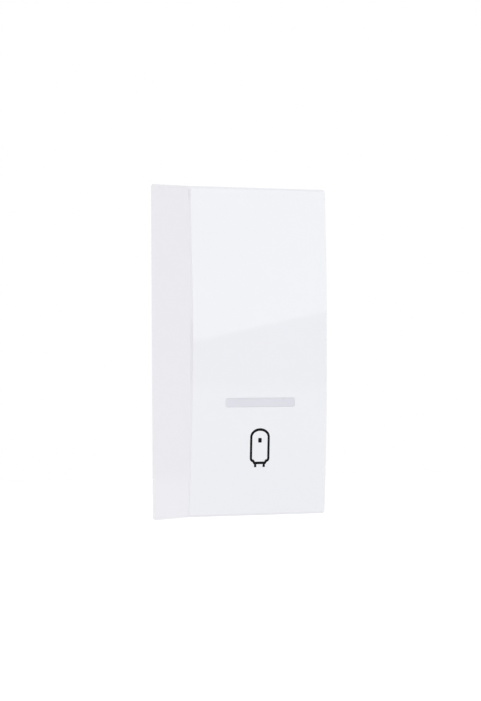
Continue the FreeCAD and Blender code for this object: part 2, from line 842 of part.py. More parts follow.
def contact_strap():
    """Bent strip from a terminal down into the contact chamber."""
    x_limits = (tip_x - strap_width / 2, tip_x + strap_width / 2)
    jog_z = press_z + chamber_half_height - strap_end_margin
    end_z = press_z - strap_end_margin
    tail = block(x_limits, (box_floor_y, strap_low_rear_y), (terminal_inner_z, jog_z))
    riser = block(x_limits, (box_floor_y, chamber_floor_y), (jog_z, jog_z + strap_thickness))
    foot = block(x_limits, (strap_high_front_y, chamber_floor_y), (jog_z, end_z))
    return joined([tail, riser, foot])


def terminal_clamp(x):
    """Brass block with a wire bore and a screw hole, lower row."""
    x_limits = (x - terminal_width / 2, x + terminal_width / 2)
    z_limits = (terminal_outer_z, terminal_inner_z)
    clamp = block(x_limits, (strap_low_rear_y, terminal_rear_y), z_limits)
    mouth = Vector(x, terminal_rear_y, terminal_wire_z)
    clamp = clamp.cut(rod(terminal_wire_radius, mouth, mouth - Vector(0, terminal_wire_depth, 0)))
    start = Vector(x, terminal_screw_y, terminal_outer_z)
    return clamp.cut(rod(terminal_screw_radius, start, Vector(x, terminal_screw_y, terminal_wire_z)))


def terminal_clamps():
    clamps = []
    for x in (-terminal_x, terminal_x):
        clamp = terminal_clamp(x)
        clamps = clamps + [clamp, upside(clamp)]
    return clamps


def terminal_screws():
    screws = []
    for x in (-terminal_x, terminal_x):
        face = Vector(x, terminal_screw_y, terminal_outer_z + terminal_screw_sink)
        up = Vector(0, 0, 1)
        screw = rod(terminal_screw_radius, face, face + up * terminal_screw_length)
        screw = screw.cut(slot_across(face, up * -1, terminal_screw_radius, screw_slot_depth))
        screws = screws + [screw, upside(screw)]
    return screws


def rear_cover():
    y_limits = (box_rear_y, rear_cover_rear_y)
    plate = rounded_block(box_half_width, box_half_height, box_corner_radius, box_middle_z, y_limits)
    lip_width = box_inner_half_width - rear_cover_lip_clearance
    lip_height = box_inner_half_height - rear_cover_lip_clearance
    lip_y = (box_rear_y - rear_cover_lip_depth, box_rear_y)
    lip = block_about(0, box_middle_z, lip_width, lip_height, lip_y)
    inside_width = lip_width - rear_cover_lip_thickness
    inside_height = lip_height - rear_cover_lip_thickness
    lip = lip.cut(block_about(0, box_middle_z, inside_width, inside_height, lip_y))
    cover = joined([plate, lip])
    for z in (terminal_wire_z, 2 * box_middle_z - terminal_wire_z):
        mouth = Vector(terminal_x, rear_cover_rear_y, z)
        entry = rod(wire_entry_radius, Vector(terminal_x, box_rear_y, z), mouth)
        cover = cover.cut(Part.makeCompound(pair(entry)))
    face = Vector(0, rear_cover_rear_y, box_middle_z)
    neck = face - Vector(0, rear_screw_head_height, 0)
    cover = cover.cut(taper(rear_screw_head_radius, face, rear_screw_radius, neck))
    return cover.cut(rod(rear_screw_radius, face, Vector(0, box_rear_y, box_middle_z)))


def rear_cover_screw():
    face = Vector(0, rear_cover_rear_y, box_middle_z)
    inward = Vector(0, -1, 0)
    head = rear_screw_head_radius
    height = rear_screw_head_height
    return countersunk_screw(face, inward, rear_screw_length, rear_screw_radius, head, height)


def lamp_straps():
    """Feet under the upper terminals with pins that reach the circuit board."""
    z_limits = (2 * box_middle_z - terminal_inner_z, 2 * box_middle_z - terminal_outer_z)
    x_limits = (terminal_x - strap_width / 2, terminal_x + strap_width / 2)
    foot = block(x_limits, (box_floor_y, strap_low_rear_y), z_limits)
    half = lamp_pin_width / 2
    pin_y = (strap_low_rear_y, board_front_y - lamp_pin_projection)
    return pair(joined([foot, block_about(terminal_x, lamp_pin_z, half, half, pin_y)]))


def circuit_board():
    y_limits = (board_front_y, board_rear_y)
    board = block((-board_half_width, board_half_width), y_limits, (board_low_z, board_high_z))
    for x, z in peg_places():
        hole = rod(peg_radius + peg_clearance, Vector(x, board_front_y, z), Vector(x, board_rear_y, z))
        board = board.cut(hole)
    half = lamp_pin_width / 2 + lamp_pin_clearance
    pin_holes = pair(block_about(terminal_x, lamp_pin_z, half, half, y_limits))
    return board.cut(Part.makeCompound(pin_holes))


def indicator_led():
    body_y = (board_front_y - led_body_depth, board_front_y)
    body = block_about(0, led_z, led_width / 2, led_height / 2, body_y)
    start = Vector(0, body_y[0], led_z)
    lens = taper(led_lens_radius, start, led_lens_top_radius, start - Vector(0, led_lens_depth, 0))
    return joined([body, lens])


def led_resistor():
    """Chip resistor with its two end caps."""
    half = resistor_length / 2
    height = resistor_height / 2
    front_y = board_front_y - resistor_depth
    body_y = (front_y + resistor_end_rise, board_front_y)
    body = block_about(0, resistor_z, half, height - resistor_end_rise, body_y)
    z_limits = (resistor_z - height, resistor_z + height)
    end_cap = block((half - resistor_end_length, half), (front_y, board_front_y), z_limits)
    return joined([body] + pair(end_cap))


def led_diode():
    """Moulded diode body with a tab folded down at each end."""
    rear_y = board_front_y - diode_standoff
    front_y = board_front_y - diode_depth
    middle_y = (rear_y + front_y) / 2
    sections = []
    for y, draft in ((rear_y, diode_draft), (middle_y, 0), (front_y, diode_draft)):
        sections.append(square_outline(diode_length / 2 - draft, diode_height / 2 - draft, y, diode_z))
    body = Part.makeLoft(sections, True, True)
    end_x = diode_length / 2 + diode_tab_thickness
    z_limits = (diode_z - diode_tab_width / 2, diode_z + diode_tab_width / 2)
    fold = block((diode_length / 2 - diode_draft, end_x), (middle_y, board_front_y), z_limits)
    return joined([body] + pair(fold))


def stop_buffers():
    inner = base_inner_half_height + buffer_edge_clearance
    outer = base_half_height - buffer_edge_clearance
    middle = buffer_spacing / 2
    x_limits = (middle - buffer_width / 2, middle + buffer_width / 2)
    return pair(block(x_limits, (base_rim_y - buffer_height, base_rim_y), (-outer, -inner)))


def save(name, shapes):
    """Write one node, as a group of separate solids where it holds several."""
    if isinstance(shapes, list):
        shape = Part.makeCompound(shapes)
    else:
        shape = shapes
    shape.exportStep("parts/" + name + ".step")


os.makedirs("parts", exist_ok=True)

save("key_cap", key_cap())
save("light_guide", light_guide())
save("key_carrier", key_carrier())
save("hinge_pin", hinge_pin())
save("base_housing", base_housing())
save("contact_cover", contact_cover())
save("contact_cover_screws", contact_cover_screws())
save("plunger", plunger())
save("plunger_springs", plunger_springs())
save("contact_pressure_spring", contact_pressure_spring())
save("bridge_contact", bridge_contact())
save("bridge_contact_tips", bridge_contact_tips())
save("fixed_contact_tips", fixed_contact_tips())
save("load_contact_strap", contact_strap())
save("line_contact_strap", across(contact_strap()))
save("terminal_clamps", terminal_clamps())
save("terminal_screws", terminal_screws())
save("rear_cover", rear_cover())
save("rear_cover_screw", rear_cover_screw())
save("lamp_straps", lamp_straps())
save("circuit_board", circuit_board())
save("indicator_led", indicator_led())
save("led_resistor", led_resistor())
save("led_diode", led_diode())
save("stop_buffers", stop_buffers())
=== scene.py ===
import math

import bpy
from mathutils import Matrix, Vector
from mathutils.bvhtree import BVHTree


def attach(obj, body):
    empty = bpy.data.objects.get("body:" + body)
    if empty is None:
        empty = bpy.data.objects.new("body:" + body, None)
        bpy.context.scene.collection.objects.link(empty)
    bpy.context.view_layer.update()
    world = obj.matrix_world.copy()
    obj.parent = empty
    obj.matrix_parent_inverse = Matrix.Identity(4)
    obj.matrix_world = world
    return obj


# Looks of the illuminated push button switch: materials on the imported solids, the printed symbol,
# the terminal numbers, the solder, and a white studio with the camera at the photo's viewpoint.
# Lengths are in metres: those on the object are written in millimetres times MM.

MM = 0.001

# Camera, fitted to the photo.
CAMERA_YAW = math.radians(29.379)
CAMERA_PITCH = math.radians(-0.575)
CAMERA_ROLL = math.radians(-0.322)
CAMERA_DISTANCE = 396.83 * MM
CAMERA_TARGET = Vector((-0.472, -6.8, 0.158)) * MM
CAMERA_LENS = 152.13
CAMERA_SENSOR = 36.0
CAMERA_NEAR = 0.01
CAMERA_FAR = 20.0

# Light levels. The world is white to the camera and in reflections, and AMBIENT to matt surfaces.
AMBIENT = 0.67
FRONT_RADIANCE = 0.96
FRONT_TINT = (0.955, 1.03, 1.01)
SIDE_RADIANCE = 1.32
TOP_RADIANCE = 0.35
WHITE_TINT = (1.0, 1.0, 1.0)
LAMP_DISTANCE = 1.2

# Lower edge of the front panel, which shows in the key as the line across it. Each end is seen from a
# point on the key along an azimuth and an elevation in degrees. The panel is shifted along that edge.
FRONT_START_POINT = Vector((-10.0, -11.0, 1.0)) * MM
FRONT_START_WAY = (28.5, -0.2)
FRONT_END_POINT = Vector((10.0, -11.0, 5.0)) * MM
FRONT_END_WAY = (31.1, 1.56)
FRONT_SHIFT = 0.6
FRONT_SIZE = (2.4, 2.2)

# Side and top panels, with their lower edges between two azimuths in degrees.
SIDE_AZIMUTHS = (-122, -102)
SIDE_ELEVATION = -8
SIDE_SIZE = (1.2, 1.2)
TOP_AZIMUTHS = (-20, 20)
TOP_ELEVATION = 62
TOP_SIZE = (1.4, 1.0)

# Dark card that the eased edge between the front and the left side reflects.
CARD_AZIMUTH = -60.6
CARD_WIDTH = 0.22
CARD_HEIGHT = 0.5

# Floor, far enough down to keep the object's shadow out of the photo's frame. It glows to the camera
# and in reflections, less near the object, and FLOOR_BOUNCE is its glow on matt surfaces.
FLOOR_Z = -60 * MM
FLOOR_SIZE = 2.3
FLOOR_NEAR_GLOW = 0.2
FLOOR_FAR_GLOW = 0.28
FLOOR_BOUNCE = 0.08
FLOOR_NEAR_RADIUS = 0.05
FLOOR_FAR_RADIUS = 0.13

# Water heater sign printed on the key.
INK_WIDTH = 0.34 * MM
INK_HEIGHT = 0.012 * MM
INK_DEPTH = 0.004 * MM
MITRE_LIMIT = 0.5
SYMBOL_X = 0.035 * MM
TANK_HALF_WIDTH = 1.33 * MM
TANK_TOP = -10.38 * MM
TANK_DOME_HEIGHT = 1.0 * MM
TANK_CORNER_RADIUS = 0.35 * MM
TANK_DOME_STEPS = 24
TANK_CORNER_STEPS = 6
TANK_LEDGE = -14.54 * MM
TANK_BOTTOM = -14.81 * MM
TANK_BOTTOM_HALF_WIDTH = 0.82 * MM
TANK_LEG_X = 0.65 * MM
TANK_LEG_END = -15.37 * MM
DOT_HALF_WIDTH = 0.26 * MM
DOT_HALF_HEIGHT = 0.31 * MM
DOT_CORNER_RADIUS = 0.1 * MM
DOT_CORNER_STEPS = 4
DOT_Z = -11.81 * MM

# Terminal numbers moulded on the end walls of the terminal box.
NUMBER_SIZE = 1.7 * MM
NUMBER_HEIGHT = 0.12 * MM
NUMBER_ROOT = 0.02 * MM
NUMBER_CURVE_STEPS = 4
NUMBER_X = 4.85 * MM
NUMBER_Y = 4.6 * MM
LOW_WALL_Z = -9.05 * MM
HIGH_WALL_Z = 14.55 * MM

# Lamp circuit places, as on the solids.
BOARD_FRONT_Y = -3.0 * MM
LED_Z = -6.63 * MM
LED_BODY_FRONT_Y = -4.2 * MM
DIODE_Z = -0.78 * MM
DIODE_BODY_HALF = 2.2 * MM
DIODE_BAND_X = -1.5 * MM
DIODE_BAND_HALF = 0.28 * MM
RESISTOR_Z = 3.22 * MM
RESISTOR_BODY_HALF = 2.4 * MM
RESISTOR_COAT_Y = -3.55 * MM
PIN_X = 2.6 * MM
PIN_Z = 8.6 * MM
COPPER_HALF_DEPTH = 0.05 * MM
TRACK_HALF_WIDTH = 0.25 * MM
OUTER_TRACK_X = 3.35 * MM

# Tinned pads of the board, as distance from its middle, half width and half height.
LED_PAD = (1.8 * MM, 1.0 * MM, 0.9 * MM)
DIODE_PAD = (2.6 * MM, 0.6 * MM, 0.9 * MM)
RESISTOR_PAD = (3.2 * MM, 0.5 * MM, 1.7 * MM)
PIN_PAD_HALF = 1.1 * MM

# Solder cone around a lamp pin, as radius and height in millimetres.
SOLDER_PROFILE = ((1.0, -0.02), (0.78, 0.08), (0.66, 0.2), (0.6, 0.32))
SOLDER_SIDES = 24

# Screw threads.
THREAD_PITCH = 0.5 * MM
THREAD_DEPTH = 0.12 * MM

# Middle and half length of the threaded shanks along Y.
COVER_SHANK = (-4.0 * MM, 1.3 * MM)
REAR_SHANK = (4.75 * MM, 2.25 * MM)

# Phase of Blender's wave texture for each metre at scale 1.
WAVE_PHASE = 20

# Stretch of the noise that brushed metal has, along the axis of the lines.
BRUSHED_ALONG_X = (0.04, 1.0, 1.0)
BRUSHED_ALONG_Z = (1.0, 1.0, 0.04)


def linear(red, green, blue):
    """Scene colour of an sRGB colour given from 0 to 255."""
    def channel(value):
        """Linear share of one channel."""
        share = value / 255
        return share / 12.92 if share <= 0.04045 else ((share + 0.055) / 1.055) ** 2.4
    return (channel(red), channel(green), channel(blue), 1.0)


TIN = linear(205, 205, 206)
COPPER_UNDER_MASK = linear(52, 128, 84)


def add_node(tree, kind, **values):
    """New shader node with the named inputs set."""
    node = tree.nodes.new(kind)
    for name, value in values.items():
        node.inputs[name.replace("_", " ")].default_value = value
    return node


def mixed(tree, factor, first, second):
    """Colour between two, by a factor socket."""
    mix = tree.nodes.new("ShaderNodeMix")
    mix.data_type = "RGBA"
    tree.links.new(factor, mix.inputs[0])
    for socket, value in ((mix.inputs[6], first), (mix.inputs[7], second)):
        if isinstance(value, tuple):
            socket.default_value = value
        else:
            tree.links.new(value, socket)
    return mix.outputs[2]


def computed(tree, operation, first, second=0.0):
    """Result of a math node on sockets or plain values."""
    node = tree.nodes.new("ShaderNodeMath")
    node.operation = operation
    for socket, value in zip(node.inputs, (first, second)):
        if isinstance(value, float):
            socket.default_value = value
        else:
            tree.links.new(value, socket)
    return node.outputs[0]


def ranged(tree, source, low, high, start=0.3, end=0.7):
    """Source moved from start..end to low..high."""
    span = add_node(tree, "ShaderNodeMapRange", From_Min=start, From_Max=end)
    for name, value in (("Value", source), ("To Min", low), ("To Max", high)):
        if isinstance(value, float):
            span.inputs[name].default_value = value
        else:
            tree.links.new(value, span.inputs[name])
    return span.outputs["Result"]


class Finish:
    """Procedural material whose colour, roughness and surface vary over the piece."""

    def __init__(self, name, colour, other, roughness, patch=150.0, **values):
        self.material = bpy.data.materials.new(name)
        self.material.use_nodes = True
        self.material.diffuse_color = colour
        self.tree = self.material.node_tree
        self.shader = self.tree.nodes["Principled BSDF"]
        for key, value in values.items():
            self.shader.inputs[key.replace("_", " ")].default_value = value
        self.place = self.tree.nodes.new("ShaderNodeTexCoord").outputs["Object"]
        self.normal = None
        patches = ranged(self.tree, self.noise(patch, 4.0), 0.0, 1.0)
        self.colour = mixed(self.tree, patches, colour, other)
        self.tree.links.new(self.colour, self.shader.inputs["Base Color"])
        rough = ranged(self.tree, self.noise(patch * 3, 3.0), *roughness)
        self.tree.links.new(rough, self.shader.inputs["Roughness"])

    def noise(self, scale, detail, stretch=None):
        """Noise from 0 to 1 over the piece, stretched where an axis has less than 1."""
        node = add_node(self.tree, "ShaderNodeTexNoise", Scale=scale, Detail=detail)
        place = self.place
        if stretch is not None:
            mapping = add_node(self.tree, "ShaderNodeMapping", Scale=stretch)
            self.tree.links.new(place, mapping.inputs["Vector"])
            place = mapping.outputs["Vector"]
        self.tree.links.new(place, node.inputs["Vector"])
        return node.outputs["Fac"]

    def bump(self, height, depth):
        """Bump of a height socket, on top of the bumps already there."""
        node = add_node(self.tree, "ShaderNodeBump", Strength=1.0, Distance=depth)
        self.tree.links.new(height, node.inputs["Height"])
        if self.normal is not None:
            self.tree.links.new(self.normal, node.inputs["Normal"])
        self.normal = node.outputs["Normal"]
        self.tree.links.new(self.normal, self.shader.inputs["Normal"])
        return self

    def grain(self, scale, depth, detail=3.0):
        """Fine unevenness of the same kind in all directions."""
        return self.bump(self.noise(scale, detail), depth)

    def brushed(self, stretch, scale, depth):
        """Fine lines along the axis that the stretch is smallest on."""
        return self.bump(self.noise(scale, 3.0, stretch), depth)

    def thread(self, way, pitch, depth, mask=None):
        """Screw thread rings along an axis named X, Y or Z, where the mask is 1."""
        scale = 2 * math.pi / (WAVE_PHASE * pitch)
        wave = add_node(self.tree, "ShaderNodeTexWave", Scale=scale, Distortion=0.0)
        wave.bands_direction = way
        self.tree.links.new(self.place, wave.inputs["Vector"])
        height = wave.outputs["Fac"]
        if mask is not None:
            height = computed(self.tree, "MULTIPLY", height, mask)
        return self.bump(height, depth)

    def axis(self, number):
        """Coordinate along one axis, in metres."""
        split = self.tree.nodes.new("ShaderNodeSeparateXYZ")
        self.tree.links.new(self.place, split.inputs["Vector"])
        return split.outputs[number]

    def side_distance(self):
        """Distance from the centre plane x = 0."""
        return computed(self.tree, "ABSOLUTE", self.axis(0))

    def near(self, place, middle, half):
        """1 where a coordinate is within a distance of a place."""
        away = computed(self.tree, "ABSOLUTE", computed(self.tree, "SUBTRACT", place, middle))
        return computed(self.tree, "LESS_THAN", away, half)

    def patch(self, x, z, half_width, half_height, y):
        """1 in a rectangle on both halves of a face at y."""
        wide = self.near(self.side_distance(), x, half_width)
        high = self.near(self.axis(2), z, half_height)
        deep = self.near(self.axis(1), y, COPPER_HALF_DEPTH)
        return computed(self.tree, "MULTIPLY", computed(self.tree, "MULTIPLY", wide, high), deep)

    def over(self, mask, colour):
        """Paints a colour where the mask is 1."""
        self.colour = mixed(self.tree, mask, self.colour, colour)
        self.tree.links.new(self.colour, self.shader.inputs["Base Color"])
        return self

    def tinned(self, mask):
        """Makes the surface tin plated where the mask is 1."""
        self.tree.links.new(mask, self.shader.inputs["Metallic"])
        return self.over(mask, TIN)


def plastic(name, colour, other, roughness=(0.3, 0.42), grain=6e-6, **values):
    """Moulded plastic between two colours, with a grain depth in metres."""
    return Finish(name, colour, other, roughness, **values).grain(4000.0, grain)


def metal(name, colour, other, roughness=(0.22, 0.38)):
    """Bare or plated metal between two colours."""
    return Finish(name, colour, other, roughness, 300.0, Metallic=1.0).grain(2500.0, 3e-6)


def key_white():
    """Glossy moulded white with a faint waviness."""
    finish = Finish("key_white", linear(229, 227.5, 232.5), linear(230, 228.5, 233.5), (0.02, 0.03), 40.0)
    return finish.grain(70.0, 3e-6, 1.0).grain(2500.0, 4e-8)


def milky_lens():
    """Translucent looking lens with a slightly matt surface."""
    finish = Finish("milky_lens", linear(211, 210, 218), linear(217, 215, 222), (0.25, 0.35), 90.0)
    return finish.grain(900.0, 2e-6)


def screw_steel(name, way, shank=None):
    """Zinc plated steel with thread rings, on the whole length or on a shank along Y."""
    finish = metal(name, linear(196, 198, 202), linear(170, 172, 178))
    mask = None if shank is None else finish.near(finish.axis(1), *shank)
    return finish.thread(way, THREAD_PITCH, THREAD_DEPTH, mask)


def chip_resistor():
    """Pale ceramic chip with a black coat in front and tin plated ends."""
    finish = plastic("chip_resistor", linear(232, 231, 226), linear(224, 223, 218))
    finish.over(computed(finish.tree, "LESS_THAN", finish.axis(1), RESISTOR_COAT_Y), linear(26, 26, 28))
    ends = computed(finish.tree, "GREATER_THAN", finish.side_distance(), RESISTOR_BODY_HALF)
    return finish.tinned(ends)


def moulded_diode():
    """Black body with a pale cathode band and tin plated tabs."""
    finish = plastic("moulded_diode", linear(34, 34, 36), linear(44, 44, 46))
    finish.over(finish.near(finish.axis(0), DIODE_BAND_X, DIODE_BAND_HALF), linear(190, 190, 188))
    tabs = computed(finish.tree, "GREATER_THAN", finish.side_distance(), DIODE_BODY_HALF)
    return finish.tinned(tabs)


def lamp_led():
    """White body with a yellow resin window."""
    finish = plastic("lamp_led", linear(236, 234, 224), linear(226, 224, 214))
    window = computed(finish.tree, "LESS_THAN", finish.axis(1), LED_BODY_FRONT_Y)
    return finish.over(window, linear(238, 212, 112))


def board_laminate():
    """Green solder mask over copper tracks, with tinned pads under the parts."""
    finish = plastic("board_green", linear(30, 92, 58), linear(24, 78, 50), (0.2, 0.3))
    tracks = [
        (PIN_X, (LED_Z + DIODE_Z) / 2, (DIODE_Z - LED_Z) / 2),
        (OUTER_TRACK_X, (DIODE_Z + RESISTOR_Z) / 2, (RESISTOR_Z - DIODE_Z) / 2),
        (PIN_X, (RESISTOR_Z + PIN_Z) / 2, (PIN_Z - RESISTOR_Z) / 2),
    ]
    for x, z, half_length in tracks:
        track = finish.patch(x, z, TRACK_HALF_WIDTH, half_length, BOARD_FRONT_Y)
        finish.over(track, COPPER_UNDER_MASK)
    pads = [(LED_PAD, LED_Z), (DIODE_PAD, DIODE_Z), (RESISTOR_PAD, RESISTOR_Z)]
    tin = finish.patch(PIN_X, PIN_Z, PIN_PAD_HALF, PIN_PAD_HALF, BOARD_FRONT_Y)
    for (x, half_width, half_height), z in pads:
        pad = finish.patch(x, z, half_width, half_height, BOARD_FRONT_Y)
        tin = computed(finish.tree, "MAXIMUM", tin, pad)
    return finish.tinned(tin)


def assign(finish, *names):
    """Puts a finish on CAD nodes."""
    for name in names:
        mesh = nodes[name].data
        mesh.materials.clear()
        mesh.materials.append(finish.material)


def new_piece(name, points, faces, finish, body, slot):
    """Mesh piece that moves with a body."""
    mesh = bpy.data.meshes.new(name)
    mesh.from_pydata(points, [], faces)
    mesh.validate()
    mesh.update()
    mesh.materials.append(finish.material)
    piece = bpy.data.objects.new(name, mesh)
    bpy.context.scene.collection.objects.link(piece)
    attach(piece, body)
    return piece


def merged(shapes):
    """One list of points and faces from several."""
    points, faces = [], []
    for more_points, more_faces in shapes:
        faces += [tuple(number + len(points) for number in face) for face in more_faces]
        points += more_points
    return points, faces


def printed(flat_points, flat_faces, surface):
    """Closed thin layer on a surface, from a flat mesh of (x, z) points."""
    front = [Vector((x, surface(x, z) - INK_HEIGHT, z)) for x, z in flat_points]
    back = [Vector((x, surface(x, z) + INK_DEPTH, z)) for x, z in flat_points]
    count = len(flat_points)
    faces = [tuple(face) for face in flat_faces]
    faces += [tuple(number + count for number in reversed(face)) for face in flat_faces]
    sides = [pair for face in flat_faces for pair in zip(face, face[1:] + face[:1])]
    for start, end in sides:
        if (end, start) not in sides:
            faces.append((end, start, start + count, end + count))
    return front + back, faces


def arc(centre_x, centre_z, radius, start, end, steps):
    """Points of an arc, with its angles in degrees."""
    points = []
    for step in range(steps + 1):
        angle = math.radians(start + (end - start) * step / steps)
        points.append((centre_x + radius * math.cos(angle), centre_z + radius * math.sin(angle)))
    return points


def stroke(line, closed):
    """Flat mesh of a line drawn with the ink's width."""
    count = len(line)
    points = []
    for number, (x, z) in enumerate(line):
        steps = []
        if closed or number > 0:
            steps.append(Vector((x - line[number - 1][0], z - line[number - 1][1])).normalized())
        if closed or number + 1 < count:
            following = line[(number + 1) % count]
            steps.append(Vector((following[0] - x, following[1] - z)).normalized())
        along = sum(steps, Vector((0, 0))).normalized()
        reach = INK_WIDTH / 2 / max(MITRE_LIMIT, along.dot(steps[0]))
        points.append((x - along.y * reach, z + along.x * reach))
        points.append((x + along.y * reach, z - along.x * reach))
    faces = []
    for number in range(count if closed else count - 1):
        here, after = 2 * number, 2 * ((number + 1) % count)
        faces.append([here, here + 1, after + 1, after])
    return points, faces


def tank_line():
    """Centre line of the tank's outline."""
    base_z = TANK_TOP - TANK_DOME_HEIGHT
    squash = TANK_DOME_HEIGHT / TANK_HALF_WIDTH
    round_dome = arc(0, 0, TANK_HALF_WIDTH, 0, 180, TANK_DOME_STEPS)
    dome = [(x + SYMBOL_X, base_z + z * squash) for x, z in round_dome]
    corner_x = TANK_HALF_WIDTH - TANK_CORNER_RADIUS
    corner_z = TANK_LEDGE + TANK_CORNER_RADIUS
    left = arc(SYMBOL_X - corner_x, corner_z, TANK_CORNER_RADIUS, 180, 270, TANK_CORNER_STEPS)
    right = arc(SYMBOL_X + corner_x, corner_z, TANK_CORNER_RADIUS, 270, 360, TANK_CORNER_STEPS)
    bottom = [(SYMBOL_X + side * TANK_BOTTOM_HALF_WIDTH, TANK_BOTTOM) for side in (-1, 1)]
    return dome + left + bottom + right


def dot_shape():
    """Filled square with round corners."""
    points = []
    corners = [(1, 1, 0), (-1, 1, 90), (-1, -1, 180), (1, -1, 270)]
    for side, rise, turn in corners:
        centre_x = SYMBOL_X + side * (DOT_HALF_WIDTH - DOT_CORNER_RADIUS)
        centre_z = DOT_Z + rise * (DOT_HALF_HEIGHT - DOT_CORNER_RADIUS)
        points += arc(centre_x, centre_z, DOT_CORNER_RADIUS, turn, turn + 90, DOT_CORNER_STEPS)
    return points, [list(range(len(points)))]


def key_symbol(ink):
    """Water heater sign printed under the lens."""
    tree = BVHTree.FromObject(nodes["key_cap"], bpy.context.evaluated_depsgraph_get())

    def surface(x, z):
        """Depth of the key's front at a place."""
        return tree.ray_cast(Vector((x, -1, z)), Vector((0, 1, 0)))[0].y

    shapes = [stroke(tank_line(), True), dot_shape()]
    for side in (-1, 1):
        x = SYMBOL_X + side * TANK_LEG_X
        shapes.append(stroke([(x, TANK_LEG_END), (x, TANK_BOTTOM - INK_WIDTH / 2)], False))
    points, faces = merged(printed(*shape, surface) for shape in shapes)
    new_piece("key_symbol", points, faces, ink, "key", "plunger_plastic")


def number_shape(text, x, wall_z, outward):
    """Raised number on a wall that faces up or down."""
    curve = bpy.data.curves.new("number", "FONT")
    curve.body = text
    curve.size = NUMBER_SIZE
    curve.extrude = (NUMBER_HEIGHT + NUMBER_ROOT) / 2
    curve.align_x = "CENTER"
    curve.align_y = "CENTER"
    curve.resolution_u = NUMBER_CURVE_STEPS
    glyph = bpy.data.objects.new("number", curve)
    mesh = bpy.data.meshes.new_from_object(glyph)
    rise = (NUMBER_HEIGHT - NUMBER_ROOT) / 2
    points = []
    for vertex in mesh.vertices:
        u, v, w = vertex.co
        points.append(Vector((x + outward * u, NUMBER_Y + v, wall_z + outward * (w + rise))))
    faces = [tuple(polygon.vertices) for polygon in mesh.polygons]
    bpy.data.objects.remove(glyph)
    bpy.data.meshes.remove(mesh)
    return points, faces


def terminal_numbers(finish):
    """Numbers 1 to 4 beside the screw holes."""
    shapes = []
    number = 0
    for wall_z, outward in ((LOW_WALL_Z, -1), (HIGH_WALL_Z, 1)):
        for side in (-1, 1):
            number += 1
            shapes.append(number_shape(str(number), side * NUMBER_X, wall_z, outward))
    new_piece("terminal_numbers", *merged(shapes), finish, "base", "housing_plastic")


def solder_cone(x):
    """Cone of solder around a pin, closed at both ends."""
    points = []
    for radius, height in SOLDER_PROFILE:
        for side in range(SOLDER_SIDES):
            angle = 2 * math.pi * side / SOLDER_SIDES
            across = radius * MM * math.cos(angle)
            up = radius * MM * math.sin(angle)
            points.append(Vector((x + across, BOARD_FRONT_Y - height * MM, PIN_Z + up)))
    faces = [tuple(range(SOLDER_SIDES))]
    for ring in range(len(SOLDER_PROFILE) - 1):
        for side in range(SOLDER_SIDES):
            here = ring * SOLDER_SIDES + side
            beside = ring * SOLDER_SIDES + (side + 1) % SOLDER_SIDES
            faces.append((here, here + SOLDER_SIDES, beside + SOLDER_SIDES, beside))
    last = (len(SOLDER_PROFILE) - 1) * SOLDER_SIDES
    faces.append(tuple(range(last + SOLDER_SIDES - 1, last - 1, -1)))
    return points, faces


def lamp_pin_solder(finish):
    """Solder on both lamp pins, in front of the board."""
    points, faces = merged(solder_cone(x) for x in (-PIN_X, PIN_X))
    new_piece("lamp_pin_solder", points, faces, finish, "base", "contact_silver")


def place_camera():
    """Camera at the photo's viewpoint."""
    yaw, pitch, roll = CAMERA_YAW, CAMERA_PITCH, CAMERA_ROLL
    forward = Vector((math.sin(yaw) * math.cos(pitch), math.cos(yaw) * math.cos(pitch), -math.sin(pitch)))
    level = Vector((math.cos(yaw), -math.sin(yaw), 0))
    upright = level.cross(forward)
    right = level * math.cos(roll) + upright * math.sin(roll)
    up = upright * math.cos(roll) - level * math.sin(roll)
    data = bpy.data.cameras.new("camera")
    data.lens = CAMERA_LENS
    data.sensor_width = CAMERA_SENSOR
    data.clip_start = CAMERA_NEAR
    data.clip_end = CAMERA_FAR
    camera = bpy.data.objects.new("camera", data)
    turn = Matrix((right, up, -forward)).transposed().to_4x4()
    camera.matrix_world = Matrix.Translation(CAMERA_TARGET - forward * CAMERA_DISTANCE) @ turn
    bpy.context.scene.collection.objects.link(camera)
    bpy.context.scene.camera = camera


def direction(azimuth, elevation):
    """Unit vector from the object, azimuth in degrees from -Y towards +X."""
    turn, rise = math.radians(azimuth), math.radians(elevation)
    return Vector((math.sin(turn) * math.cos(rise), -math.cos(turn) * math.cos(rise), math.sin(rise)))


def facing(edge_start, edge_end, height):
    """Place of a panel that faces the object and whose lower edge runs through two points."""
    middle = (edge_start + edge_end) / 2
    along = (edge_end - edge_start).normalized()
    towards = -middle
    towards = (towards - along * towards.dot(along)).normalized()
    up = towards.cross(along)
    if up.z < 0:
        up = -up
    turn = Matrix((up.cross(-towards), up, -towards)).transposed().to_4x4()
    return Matrix.Translation(middle + up * height / 2) @ turn


def soft_light(name, edge_start, edge_end, size, radiance, tint=WHITE_TINT):
    """Soft light panel with its lower edge through two points, and its size as width and height."""
    width, height = size
    data = bpy.data.lights.new(name, "AREA")
    data.shape = "RECTANGLE"
    data.size = width
    data.size_y = height
    data.color = tint
    data.energy = radiance * math.pi * width * height
    light = bpy.data.objects.new(name, data)
    light.matrix_world = facing(edge_start, edge_end, height)
    bpy.context.scene.collection.objects.link(light)


